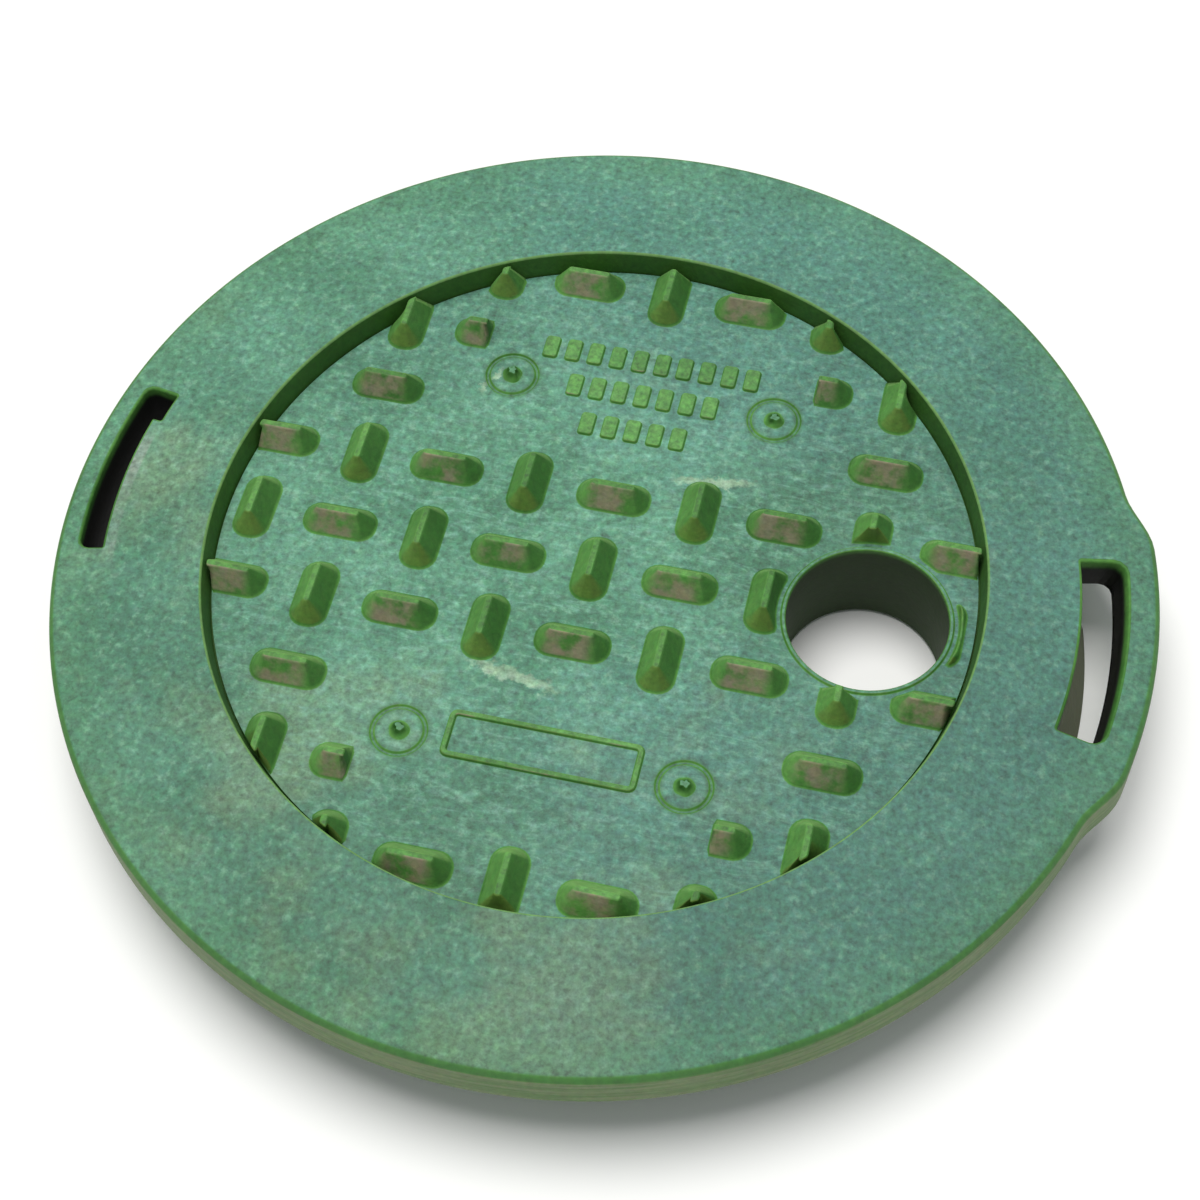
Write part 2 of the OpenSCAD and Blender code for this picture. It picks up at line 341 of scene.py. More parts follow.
lug_slot = slot_outline(*LUG_SLOT, SLOT_HALF, 2.6)
far_slot = slot_outline(*FAR_SLOT, SLOT_HALF, 2.0, entry=(4, 120.5))
lug_lining = slot_outline(LINING_IN, LUG_SLOT[1] + SLOT_WALL, SLOT_HALF + 1.5, 2.6)
far_lining = slot_outline(LINING_IN, FAR_SLOT[1] + SLOT_WALL, SLOT_HALF + 1.5, 2.0)

for lining, turn, low in ((lug_lining, LUG_TURN, TOP - 12), (far_lining, FAR_TURN, FAR_LINING_LOW)):
    inset = offset(lining, -0.6)
    rows = [(inset, low), (lining, low + 0.6), (lining, PLATE_LOW + 0.5)]
    ring = combine(ring, prism("lining", turned(rows, turn)), "UNION")
for outline, turn, lean, low in ((lug_slot, LUG_TURN, 3.0, RIM_LOW - 1),
                                 (far_slot, FAR_TURN, 0.0, FAR_SLOT_LOW)):
    ring = combine(ring, prism("slot", turned(slot_rows(outline, lean, low), turn)), "DIFFERENCE")
print("ring with slots:", len(ring.data.polygons), "faces")

# %% Notches in the skirt, and the one in the ledge for the lid's sleeve
NOTCH_TURN = 19                    # degrees from each slot's side of the cover to its notch
notch = slot_outline(112, 128, 7, 0.5)
for turn in (NOTCH_TURN, NOTCH_TURN + 180):
    rows = turned([(notch, -2), (notch, RIM_LOW - 1)], turn)
    ring = combine(ring, prism("notch", rows), "DIFFERENCE")
sleeve_room = circle(HOLE_R + 3.5, 96, (HOLE_X, 0))
room = prism("room", [(sleeve_room, LEDGE_LOW - 2), (sleeve_room, PANEL_LOW + 1)])
ring = combine(ring, room, "DIFFERENCE")
ring.name = ring.data.name = "overlap_ring_moulding"
print("finished ring:", len(ring.data.polygons), "faces")

# %% [markdown]
# ## Studs
#
# The studs give a shoe its grip. Each is a loaf with a narrow top, and they lie in a basket weave: one
# along, the next across. A stud that meets the recess wall, the hole or a plain band is cut off there.
#
# Each stud is a stack of outlines, one for every height. An outline is found with rays: they leave the
# stud's spine in all directions and stop where a distance function says that the plastic ends. The
# function is simply the largest of several distances, so cutting a stud off costs nothing.

# %% Where the studs are
def has_stud(i, j):
    """True if the weave has a stud at column i and row j, counted from the axis."""
    x, y = i * PITCH, j * PITCH
    banded = abs(i) < 2 and abs(j) in (2, 3) or abs(i) == abs(j) == 2
    at_hole = (i, j) == (3, 0)
    inside = math.hypot(x, y) < LID_R or (abs(i), abs(j)) == (2, 4)
    return not banded and not at_hole and inside


studs = [(i, j) for i in range(-4, 5) for j in range(-4, 5) if has_stud(i, j)]
print("studs:", len(studs))

# %% How a stud's side rises
STUD_L, STUD_W, STUD_TOP_W = 9.5, 4.75, 0.75       # half lengths and widths, the last one at the top
STUD_H = lid_high[2] - PANEL
COLLAR_R = HOLE_R + 2.6            # no stud comes nearer to the hole's centre
WALL_SLOPE = (RECESS_R - SEAT_R) / (TOP - PANEL)
BAND_X, BAND_Y0, BAND_Y1 = 44.0, 34.0, 75.0        # the plain bands' half width, near and far side

stud_side = rounded([(-3, 0, 0), (0, 0, 0.9), (STUD_W - STUD_TOP_W, STUD_H, 0.9), (STUD_W, STUD_H, 0)],
                    step=15)[1:-1]
print("heights in a stud's stack:", len(stud_side))


def box_gap(p, half_x, half_y, corner):
    """Distance from a box with round corners, below zero inside."""
    q = np.abs(p) - (half_x - corner, half_y - corner)
    return np.hypot(*np.maximum(q, 0).T) + np.minimum(q.max(axis=1), 0) - corner


def soft_max(a, b, blend):
    """The larger of two distances, with a soft crease where they meet."""
    return np.maximum(a, b) + np.maximum(blend - np.abs(a - b), 0) ** 2 / (4 * blend)


def cut_inset(height, foot=0.6, top=0.7, draft=0.05):
    """How far a cut-off face lies behind its plane at a height: fillet, draft, then rounded top."""
    low = max(0.0, 1 - height / foot) if foot else 0.0
    high = max(0.0, (height - (STUD_H - top)) / top)
    fillet = foot * (1 - math.sqrt(1 - low * low))
    crown = top * (1 - math.sqrt(1 - min(high, 1) ** 2))
    return draft * height - fillet + crown


def stud_gap(p, i, j, inset, height):
    """Distance outside stud (i, j) at a height, below zero inside."""
    local = p - (i * PITCH, j * PITCH)
    if (i + j) % 2 == 0:
        local = local[:, ::-1]
    half_y = STUD_W - inset
    gap = box_gap(local, STUD_L - inset, half_y, 0.88 * half_y)
    wall = LID_R - 0.1 + WALL_SLOPE * height
    gap = soft_max(gap, np.hypot(*p.T) - wall + cut_inset(height, foot=0), 0.5)
    gap = soft_max(gap, COLLAR_R - np.hypot(*(p - (HOLE_X, 0)).T) + cut_inset(height), 0.5)
    band = box_gap(np.abs(p) - (0, (BAND_Y0 + BAND_Y1) / 2), BAND_X, (BAND_Y1 - BAND_Y0) / 2, 0.01)
    return soft_max(gap, cut_inset(height) - band, 0.5)

# %% Rays from the spine to the side
def edge_along(origin, way, gap, reach=14.0):
    """Points where rays leave the plastic, found by halving the distance again and again."""
    low, high = np.zeros(len(origin)), np.full(len(origin), reach)
    for _ in range(26):
        middle = (low + high) / 2
        inside = gap(origin + way * middle[:, None]) < 0
        low, high = np.where(inside, middle, low), np.where(inside, high, middle)
    return origin + way * low[:, None]


def fan(spine, normal, sides=14, ends=12):
    """Origins and directions of rays all round a spine, given as points with their normals."""
    origin, way = [], []
    for start, stop, tilt in ((0, len(spine) - 1, 1), (len(spine) - 1, 0, -1)):
        for k in range(sides):
            at = start + (stop - start) * k / sides
            low = int(min(at, len(spine) - 2))
            share = at - low
            origin.append(spine[low] * (1 - share) + spine[low + 1] * share)
            mixed = normal[low] * (1 - share) + normal[low + 1] * share
            way.append(tilt * mixed / np.linalg.norm(mixed))
        n = normal[stop]
        along = np.array([n[1], -n[0]]) * tilt
        for k in range(ends):
            a = math.pi * k / ends
            origin.append(spine[stop])
            way.append(tilt * n * math.cos(a) + along * math.sin(a))
    return np.array(origin), np.array(way)


def spine_of(i, j, gap_at_top):
    """The stretch of the stud's middle line that is plastic up to the top, with its normals."""
    centre = np.array((i * PITCH, j * PITCH), float)
    along = np.array((0.0, 1.0)) if (i + j) % 2 == 0 else np.array((1.0, 0.0))
    steps = np.linspace(-7, 7, 281)
    line = centre + steps[:, None] * along
    good = gap_at_top(line) < -0.45
    if good.any():
        ends = line[good][[0, -1]]
        if np.linalg.norm(ends[1] - ends[0]) < 0.1:
            ends = ends.mean(axis=0) + np.outer((-0.05, 0.05), along)
        normal = np.array((-along[1], along[0]))
        return ends, np.array([normal, normal])
    return None

# %% Build a stud into the lid's skin
def add_stud(skin, i, j):
    """Stacks the stud's outlines and returns its foot as a loop of the panel."""
    levels = stud_side
    found = None
    while found is None:
        inset, height = levels[-1]
        found = spine_of(i, j, lambda p: stud_gap(p, i, j, inset, height))
        if found is None:
            levels = levels[:-1]
            if len(levels) < 4:
                return None
    origin, way = fan(*found)
    loops = []
    for inset, height in levels:
        xy = edge_along(origin, way, lambda p: stud_gap(p, i, j, inset, height))
        loops.append(skin.loop(xy, PANEL + height))
    skin.stack(loops)
    skin.faces.append(tuple(loops[-1]))
    return loops[0]


def add_crescent(skin):
    """The stud between the hole and the recess wall: only a curved crest is left of it."""
    turns = np.radians(np.linspace(-20.5, 20.5, 15))
    out = np.column_stack([np.cos(turns), np.sin(turns)])
    spine = np.array((HOLE_X, 0)) + out * (COLLAR_R + 0.45)
    origin, way = fan(spine, -out, sides=28, ends=6)
    loops = []
    for height in (0.0, 0.12, 0.35, 0.6):
        inset = np.interp(height, stud_side[:, 1], stud_side[:, 0])
        xy = edge_along(origin, way, lambda p: stud_gap(p, 4, 0, inset, height))
        loops.append(skin.loop(xy, PANEL + height))
    slope = (STUD_W - STUD_TOP_W) / STUD_H
    side = (4 * PITCH + STUD_W - origin[:, 0]) / slope
    end = (STUD_L - 0.3 - np.abs(origin[:, 1])) / slope
    crest = np.clip(np.minimum(side, end) - 0.3, 0.65, STUD_H)
    loops.append(skin.loop(origin + (xy - origin) * 0.55, PANEL + 0.6 + (crest - 0.6) * 0.75))
    loops.append(skin.loop(origin, PANEL + crest))
    skin.stack(loops)
    return loops[0]

# %% [markdown]
# ## Small relief
#
# Four gate marks show where plastic entered the mould: a shallow groove round a torn-off pip. Where a
# maker would put words there are rows of plain pads and an empty frame. Each is a short stack of its own.

# %% Pads, frame and gate marks
def pad_outline(cx, cy, half_x, half_y, corner, count=4):
    """A rectangle with round corners, the same number of points for every size."""
    out = []
    for quarter, (sx, sy) in enumerate(((1, 1), (-1, 1), (-1, -1), (1, -1))):
        for k in range(count + 1):
            a = math.pi / 2 * (quarter + k / count)
            out.append((cx + sx * (half_x - corner) + corner * math.cos(a),
                        cy + sy * (half_y - corner) + corner * math.sin(a)))
    return np.array(out)


def add_pad(skin, cx, cy, half_x, half_y, height=0.8, corner=0.9):
    """A low pad. Returns its foot."""
    side = rounded([(-1, 0, 0), (0, 0, 0.22), (0.18, height, 0.35), (1.2, height, 0)], step=30)[1:-1]
    loops = [skin.loop(pad_outline(cx, cy, half_x - inset, half_y - inset, corner - inset * 0.7), PANEL + h)
             for inset, h in side]
    skin.stack(loops)
    skin.faces.append(tuple(loops[-1]))
    return loops[0]


def add_frame(skin, cx, cy, half_x, half_y, line=1.6, height=0.8, corner=2.0):
    """A raised line round an empty field. Returns its outer and inner foot."""
    side = rounded([(-1, 0, 0), (0, 0, 0.22), (0.18, height, 0.35), (line - 0.18, height, 0.35),
                    (line, 0, 0.22), (line + 1, 0, 0)], step=30)[1:-1]
    loops = [skin.loop(pad_outline(cx, cy, half_x - inset, half_y - inset, corner - inset * 0.9), PANEL + h)
             for inset, h in side]
    skin.stack(loops)
    return loops[0], loops[-1]


def add_gate_mark(skin, cx, cy, rng):
    """Groove, inner disc and torn pip, from the outside to the middle. Returns the outer edge."""
    side = rounded([(9, 0, 0), (7.1, 0, 0.3), (6.8, -0.5, 0.25), (6.2, -0.5, 0.25), (5.8, 0, 0.3),
                    (2.6, 0, 0.6), (1.5, 1.1, 0.4), (1.1, 2.0, 0.4), (0, 2.0, 0)], step=30)[1:-1]
    turns = np.linspace(0, 2 * math.pi, 40, endpoint=False)
    torn = sum(rng.uniform(0.1, 0.22) * np.cos(k * turns + rng.uniform(0, 6.3)) for k in (1, 2, 3, 5))
    lean = rng.uniform(-0.35, 0.35, 2)
    loops = []
    for reach, h in side:
        share = ease((3.0 - reach) / 2.0)
        r = reach * (1 + share * torn)
        xy = np.column_stack([np.cos(turns) * r, np.sin(turns) * r]) + np.array((cx, cy)) + lean * share
        loops.append(skin.loop(xy, PANEL + h + share * 0.35 * torn * (h > 0.5)))
    skin.stack(loops)
    skin.faces.append(tuple(loops[-1]))
    return loops[0]

# %% [markdown]
# ## The panel between the reliefs
#
# What is left of the panel is a flat sheet with many holes, one for each foot. A constrained Delaunay
# triangulation fills it: it takes all the loops as fixed edges and finds well-shaped triangles between
# them. Extra points on a loose grid keep the triangles from growing too long.

# %% Fill a flat region with holes
def inside_loop(p, loop):
    """True for points inside a closed loop, by counting crossings to the right."""
    a, b = loop, np.roll(loop, -1, axis=0)
    x, y = p[:, 0, None], p[:, 1, None]
    spans = (a[:, 1] > y) != (b[:, 1] > y)
    rise = np.where(b[:, 1] == a[:, 1], 1e-12, b[:, 1] - a[:, 1])
    return (spans & (x < a[:, 0] + (y - a[:, 1]) / rise * (b[:, 0] - a[:, 0]))).sum(axis=1) % 2 == 1


def fill(skin, outer, holes, islands=(), spacing=4.0):
    """Triangles between the outer loop and the holes, and inside the islands."""
    height = skin.points[outer[0]][2]
    loops = [outer, *holes, *islands]
    numbers = [n for loop in loops for n in loop]
    fixed = np.array([skin.points[n][:2] for n in numbers])
    edges, first = [], 0
    for loop in loops:
        count = len(loop)
        edges += [(first + k, first + (k + 1) % count) for k in range(count)]
        first += count
    low, high = fixed.min(axis=0), fixed.max(axis=0)
    columns, rows = (np.arange(low[axis], high[axis], spacing) for axis in (0, 1))
    grid = np.array([(x + (row % 2) * spacing / 2, y) for row, y in enumerate(rows) for x in columns])
    shapes = [np.array([skin.points[n][:2] for n in loop]) for loop in loops]

    def kept(p):
        good = inside_loop(p, shapes[0])
        for shape in shapes[1:1 + len(holes)]:
            good &= ~inside_loop(p, shape)
        for shape in shapes[1 + len(holes):]:
            good |= inside_loop(p, shape)
        return good

    grid = grid[kept(grid)]
    near = np.array([np.min(np.hypot(*(fixed - g).T)) for g in grid])
    grid = grid[near > spacing * 0.45]
    extra = skin.loop(grid, height) if len(grid) else []
    numbers += extra
    coords = [Vector(p) for p in np.vstack([fixed, grid])]
    points, _, faces, origin, _, _ = delaunay_2d_cdt(coords, edges, [], 0, 1e-7)
    crossings = [tuple(p) for p, source in zip(points, origin) if not source]
    if crossings:
        raise ValueError(f"loops cross at {crossings[:5]}")
    back = [numbers[source[0]] for source in origin]
    centres = np.array([sum((points[n] for n in face), Vector((0, 0))) / len(face) for face in faces])
    for face, good in zip(faces, kept(centres)):
        if good:
            skin.faces.append(tuple(back[n] for n in face))

# %% Build the lid's skin
PAD_ROWS = ((10, 65.5), (7, 54.5), (5, 43.0))      # pads in each row, and the row's distance from the axis
PAD_STEP, PAD_HALF = 6, (2.0, 3.5)
FRAME_Y, FRAME_HALF = -52.5, (24, 6.5)

rng = np.random.default_rng(7)
lid_skin = Skin()
feet = [add_crescent(lid_skin) if (i, j) == (4, 0) else add_stud(lid_skin, i, j) for i, j in studs]
feet = [foot for foot in feet if foot]
for count, y in PAD_ROWS:
    feet += [add_pad(lid_skin, (k - (count - 1) / 2) * PAD_STEP, y, *PAD_HALF) for k in range(count)]
frame_out, frame_in = add_frame(lid_skin, 0, FRAME_Y, *FRAME_HALF)
feet.append(frame_out)
for x in (-GATE_X, GATE_X):
    for y in (-GATE_Y, GATE_Y):
        feet.append(add_gate_mark(lid_skin, x, y, rng))

hole_section = rounded([
    (HOLE_R + 3, PANEL, 0), (HOLE_R + 1.25, PANEL, 0.35), (HOLE_R + 1, PANEL + 0.6, 0.3),
    (HOLE_R, PANEL + 0.6, 0.45), (HOLE_R, SLEEVE_LOW, 0.8), (HOLE_R + 3, SLEEVE_LOW, 0.8),
    (HOLE_R + 3, PANEL_LOW, 1.2), (HOLE_R + 5, PANEL_LOW, 0)], step=30)[1:-1]
hole_loops = [lid_skin.loop(circle(r, 96, (HOLE_X, 0)), z) for r, z in hole_section]
hole_top, hole_under = lid_skin.stack(hole_loops)
feet.append(hole_top)

edge_section = [(LID_R - 0.05, PANEL), (LID_R, PANEL - 0.05),
                (LID_R, PANEL_LOW + 0.5), (LID_R - 0.5, PANEL_LOW)]
edge_top, edge_under = lid_skin.stack([lid_skin.loop(circle(r, 320), z) for r, z in edge_section])
fill(lid_skin, edge_top, feet, islands=[frame_in])
fill(lid_skin, edge_under, [hole_under], spacing=9.0)
lid = lid_skin.mesh("tread_lid_moulding")

# %% [markdown]
# ## Ribs under the lid
#
# A flat plastic panel would bend under a foot, so it has ribs: six spokes and a ring. They are hidden
# in use and are joined to the panel by booleans, which is quick to write and good enough down there.

# %% Spokes and ring
RIB_T, RIB_LOW, RIB_R = 3.0, PANEL_LOW - 12, 42.0  # thickness, foot, and the round rib's radius
ring_skin = Skin()
rib_section = rounded([(RIB_R, PANEL_LOW + 0.6, 0), (RIB_R, RIB_LOW, 0.6), (RIB_R - RIB_T, RIB_LOW, 0.6),
                       (RIB_R - RIB_T, PANEL_LOW + 0.6, 0)], closed=True, step=45)
rib_loops = [ring_skin.loop(circle(r, 144), z) for r, z in rib_section]
ring_skin.stack(rib_loops + rib_loops[:1])
lid = combine(lid, ring_skin.mesh("rib_ring"), "UNION")
for turn in (30, 90, 150):
    spoke = pad_outline(0, 0, LID_R - 7, RIB_T / 2, 0.6, count=3)
    narrow = pad_outline(0, 0, LID_R - 7.5, RIB_T / 2 - 0.5, 0.1, count=3)
    rows = turned([(narrow, RIB_LOW), (spoke, RIB_LOW + 0.6), (spoke, PANEL_LOW + 0.6)], turn)
    lid = combine(lid, prism("spoke", rows), "UNION")
lid.name = lid.data.name = "tread_lid_moulding"
print("finished lid:", len(lid.data.polygons), "faces")

# %% [markdown]
# ## Smooth shading
#
# Rounded edges only look round if the faces on them are shaded smoothly, and flat fields only look flat
# if they aren't. Weighted normals do both: the largest face at a point has the most say.

# %% Shade both mouldings
for piece in (ring, lid):
    piece.data.polygons.foreach_set("use_smooth", [True] * len(piece.data.polygons))
    piece.data.update()
    weigh = piece.modifiers.new("weighted normals", "WEIGHTED_NORMAL")
    weigh.weight, weigh.keep_sharp = 60, True

# %% [markdown]
# ## Writing shader maths as Python
#
# A material is a net of small nodes. Wiring them by name makes a long script, so two helpers do it. A
# wire stands for one socket, and adding or multiplying wires makes the Math nodes. A recipe is one
# material, and its node method makes any other node.

# %% Wires and recipes
class Wire:
    """One output of a node, or maths on it."""

    def __init__(self, recipe, socket):
        self.recipe, self.socket = recipe, socket

    def maths(self, operation, *values):
        return self.recipe.node("ShaderNodeMath", {"operation": operation}, dict(enumerate(values)))

    def __add__(self, other):
        return self.maths("ADD", self, other)

    def __radd__(self, other):
        return self.maths("ADD", other, self)

    def __sub__(self, other):
        return self.maths("SUBTRACT", self, other)

    def __rsub__(self, other):
        return self.maths("SUBTRACT", other, self)

    def __mul__(self, other):
        return self.maths("MULTIPLY", self, other)

    def __rmul__(self, other):
        return self.maths("MULTIPLY", other, self)

    def __truediv__(self, other):
        return self.maths("DIVIDE", self, other)

    def __pow__(self, other):
        return self.maths("POWER", self, other)

    def __mod__(self, other):
        return self.maths("MODULO", self, other)

    def __abs__(self):
        return self.maths("ABSOLUTE", self)

    def __round__(self):
        return self.maths("ROUND", self)

    def step(self, start, stop):
        """0 below start, 1 above stop, smooth between."""
        return self.recipe.node("ShaderNodeMapRange", {"interpolation_type": "SMOOTHSTEP"},
                                {"Value": self, "From Min": start, "From Max": stop})

    def between(self, low, high, soft):
        """1 between low and high, 0 outside, with soft borders."""
        return self.step(low - soft, low + soft) * self.step(high + soft, high - soft)


class Recipe:
    """One material, built node by node."""

    def __init__(self, name):
        self.material = bpy.data.materials.new(name)
        self.material.use_nodes = True
        self.tree = self.material.node_tree
        self.surface = self.tree.nodes["Principled BSDF"]

    def node(self, kind, settings=None, values=None, output=0):
        made = self.tree.nodes.new(kind)
        for key, value in (settings or {}).items():
            setattr(made, key, value)
        for key, value in (values or {}).items():
            self.put(made.inputs[key], value)
        return Wire(self, made.outputs[output])

    def put(self, socket, value):
        if isinstance(value, Wire):
            self.tree.links.new(value.socket, socket)
        else:
            socket.default_value = value

    def mix(self, share, one, other):
        """A colour between two colours."""
        one, other = ((*c, 1) if isinstance(c, tuple) else c for c in (one, other))
        return self.node("ShaderNodeMix", {"data_type": "RGBA"}, {0: share, 6: one, 7: other}, output=2)

    def noise(self, place, scale, detail=3.0, rough=0.55, warp=0.0):
        return self.node("ShaderNodeTexNoise", None, {"Vector": place, "Scale": scale, "Detail": detail,
                                                      "Roughness": rough, "Distortion": warp})

    def finish(self, **sockets):
        for key, value in sockets.items():
            self.put(self.surface.inputs[key.replace("_", " ").title()], value)
        return self.material

# %% [markdown]
# ## Green moulded plastic
#
# Both mouldings are one weathered plastic. Its own colour is a strong green, which still shows on every
# steep side. What faces up is a pale blue-green, a weathered bloom with a painted sky sheen in it, and this
# pale skin is finely speckled. So the main mask is how far a face points up, and it is read from the mesh
# itself.

# %% Colours, linear
def srgb(red, green, blue):
    """A screen colour from 0 to 255 as the linear values that Blender works in."""
    return tuple((c / 255 / 12.92) if c <= 10 else ((c / 255 + 0.055) / 1.055) ** 2.4
                 for c in (red, green, blue))


# The pale top colour is a weathered bloom with a painted sky sheen in it.
PALE_BLEACH_SHEEN = srgb(79, 131, 107)
SHADED = srgb(60, 111, 86)
PALE = srgb(122, 160, 136)
BLUISH = srgb(72, 124, 116)
SANDY = srgb(118, 138, 102)
MOSS = srgb(74, 128, 84)
GREEN = srgb(90, 148, 66)
DEEP_GREEN = srgb(48, 104, 30)
# A brownish tint for the fronts of some studs.
BROWNISH = srgb(146, 132, 112)
# Near-black painted shade for the insides of the slots.
SLOT_SHADE = srgb(12, 12, 10)

# Only on the ring
# A pale painted highlight for the rounded inner edge of the far slot.
PALE_SLOT_HIGHLIGHT = srgb(150, 152, 150)
SIDE_GREEN, SIDE_OLIVE = srgb(86, 114, 66), srgb(118, 128, 94)
EDGE_GREEN = srgb(62, 112, 54)
# The recess wall gets painted shade, and the rounded edge at its top a painted highlight.
WALL_SHADE_GREEN, WALL_EDGE_HIGHLIGHT = srgb(44, 84, 18), srgb(122, 162, 98)
SKIRT = srgb(70, 78, 40)

# Only on the lid
FLOW = srgb(114, 162, 144)
SCUFF = srgb(160, 186, 154)
# The gate marks' grooves get a darker green as painted shade.
GROOVE_SHADE, PIP = srgb(62, 112, 72), srgb(40, 92, 22)
RELIEF = srgb(80, 134, 92)
# Painted shade for the studs' right sides and painted light for their left and back sides.
STUD_RIGHT_SHADE, STUD_LEFT_LIGHT = srgb(44, 96, 32), srgb(104, 160, 80)
STUD_BACK_LIGHT, STUD_NEAR_END = srgb(128, 172, 96), srgb(100, 118, 40)
# Painted shade for the wall inside the finger hole.
HOLE_WALL_SHADE = srgb(30, 46, 12)

# %% [markdown]
# A moulding's recipe starts from where a point is, in millimetres, and which way it faces. Every mask is
# built from those, so that wear lies where wear belongs: on edges, crests and flats.

# %% A recipe that knows the cover
class Moulding(Recipe):
    """Masks and colours that both mouldings share."""

    def __init__(self, name):
        super().__init__(name)
        self.place = self.node("ShaderNodeTexCoord", output="Object")
        self.x, self.y, self.z = (part / MM for part in self.parts(self.place))
        self.nx, self.ny, self.nz = self.parts(self.node("ShaderNodeTexCoord", output="Normal"))
        self.reach = (self.x * self.x + self.y * self.y) ** 0.5
        self.cloud = self.noise(self.place, 30, 4)
        self.grain = self.noise(self.place, 720, 2.5, 0.65)
        self.mottle = self.noise(self.place, 410, 3, 0.65)

    def parts(self, vector):
        split = self.node("ShaderNodeSeparateXYZ", None, {0: vector}).socket.node
        return [Wire(self, split.outputs[k]) for k in range(3)]

    def vector(self, operation, *values):
        return self.node("ShaderNodeVectorMath", {"operation": operation}, dict(enumerate(values)))

    def bleach_and_sheen(self):
        """The pale skin of what faces up, a weathered bloom with a painted sky sheen. Painted light makes
        it darker towards the near right, and it is bluer there.
        """
        patch = self.noise(self.place, 11, 3)
        right = (self.x * 0.96 + self.y * 0.28) / RIM_R
        away = (self.y * 0.96 - self.x * 0.28) / RIM_R
        colour = self.mix(self.cloud.step(0.34, 0.66), SHADED, PALE_BLEACH_SHEEN)
        colour = self.mix((patch + right * 0.12).step(0.44, 0.68) * 0.5, colour, BLUISH)
        dust = (self.noise(self.place, 24, 4, 0.6) - right * 0.12 - away * 0.10).step(0.56, 0.76)
        colour = self.mix(dust * 0.38, colour, SANDY)
        colour = self.mix(self.mottle.step(0.52, 0.70) * 0.28, colour, PALE)
        # Painted light: lighter towards the back, darker towards the near right.
        return self.lit(colour, 1.0 + away * 0.16 - right * 0.12)

    def lit(self, colour, share):
        """A colour made lighter or darker."""
        return self.node("ShaderNodeVectorMath", {"operation": "SCALE"}, {0: colour, "Scale": share})

    def speckled(self, colour, amount):
        """Fine grains, lighter and darker, and each a little off in hue."""
        grains = {"Vector": self.place, "Scale": 480.0, "Detail": 2.0}
        hue = self.node("ShaderNodeTexNoise", None, grains, output="Color")
        shift = self.vector("MULTIPLY_ADD", hue, (0.3, 0.3, 0.3), (0.85, 0.85, 0.85))
        light = 1.0 + (self.grain - 0.5) * 1.7 * amount + (self.mottle - 0.5) * 0.9 * amount
        return self.lit(self.vector("MULTIPLY", colour, shift), light)

    def fresh(self):
        """The plastic's own green, on steep sides."""
        return self.mix(self.cloud.step(0.34, 0.66) * 0.7 + self.mottle * 0.3, DEEP_GREEN, GREEN)

    def surfaced(self, colour, up):
        """The finished material: the colour with a fine bump, a little rougher on the sides."""
        height = self.grain * 0.6 + self.mottle * 0.8 + self.cloud * 0.5
        bump = self.node("ShaderNodeBump", None, {"Strength": 0.45, "Distance": 0.00035, "Height": height})
        return self.finish(base_color=colour, roughness=0.64 - up * 0.06 + self.grain * 0.12, normal=bump)

# %% [markdown]
# ## The ring's plastic
#
# The rim's side has turned olive and is banded along its length, and the rounded edge above it has stayed
# green. The slots are painted nearly black as shade, the far pocket most of all. The recess wall is painted
# darker as shade, with a painted highlight on its rounded top edge. A pale strip of painted highlight runs
# beside the far slot.

# %% Ring plastic
def ring_look():
    made = Moulding("bleached green ring plastic")
    up = made.nz.step(0.86, 0.985)
    top = made.mix(made.reach.step(116, RIM_R) * 0.35, made.bleach_and_sheen(), MOSS)
    # Painted highlight: a pale strip along the far slot's rounded inner edge.
    slot_highlight = made.reach.between(119.6, 122.9, 0.4) * made.x.step(-90, -100) * made.y.between(-25, 12, 5)
    top = made.mix(slot_highlight * made.cloud.step(0.3, 0.6) * 0.45, top, PALE_SLOT_HIGHLIGHT)
    side = made.fresh()
    bands = made.noise(made.vector("MULTIPLY", made.place, (30.0, 30.0, 900.0)), 1.0, 3, 0.6)
    weathered = made.mix(bands.step(0.35, 0.65), SIDE_GREEN, SIDE_OLIVE)
    outer = made.reach.step(RIM_R - 0.9, RIM_R - 0.3) * made.nz.step(0.45, 0.15)
    side = made.mix(outer * 0.85, side, weathered)
    edge = made.reach.step(RIM_R - 4, RIM_R - 2) * made.nz.between(0.35, 0.93, 0.12)
    side = made.mix(edge * 0.8, side, EDGE_GREEN)
    # Painted shade on the recess wall, and a painted highlight on its rounded top edge.
    inner = made.reach.step(99, 97.5)
    side = made.mix(inner * made.nz.step(0.55, 0.15) * 0.75, side, WALL_SHADE_GREEN)
    side = made.mix(inner * made.nz.between(0.3, 0.95, 0.1) * 0.6, side, WALL_EDGE_HIGHLIGHT)
    colour = made.mix(up, side, top)
    depth = TOP - RIM_FALL - made.z
    far = made.x.step(-100, -110)
    below_pocket = far * made.z.step(FAR_LINING_LOW + 0.9, FAR_LINING_LOW + 0.3)
    at_slot = made.reach.between(LUG_SLOT[0] - 1, LUG_SLOT[1] + 0.6, 0.3) * abs(made.y).step(29, 28)
    at_slot = at_slot * (1 - below_pocket)
    # Painted shade: the slots' walls go nearly black below their mouths.
    colour = made.mix(at_slot * made.nz.step(0.75, 0.4) * depth.step(0.8, 3.2), colour, SLOT_SHADE)
    under = made.z.step(RIM_LOW + 1.0, RIM_LOW - 0.5) * made.reach.step(128, 127)
    colour = made.mix(under * 0.8, colour, SKIRT)
    # Painted shade: the far pocket goes black further down.
    colour = made.mix(far * at_slot * depth.step(3, 6), colour, SLOT_SHADE)
    return made.surfaced(made.speckled(colour, 0.35 + up * 0.65), up)


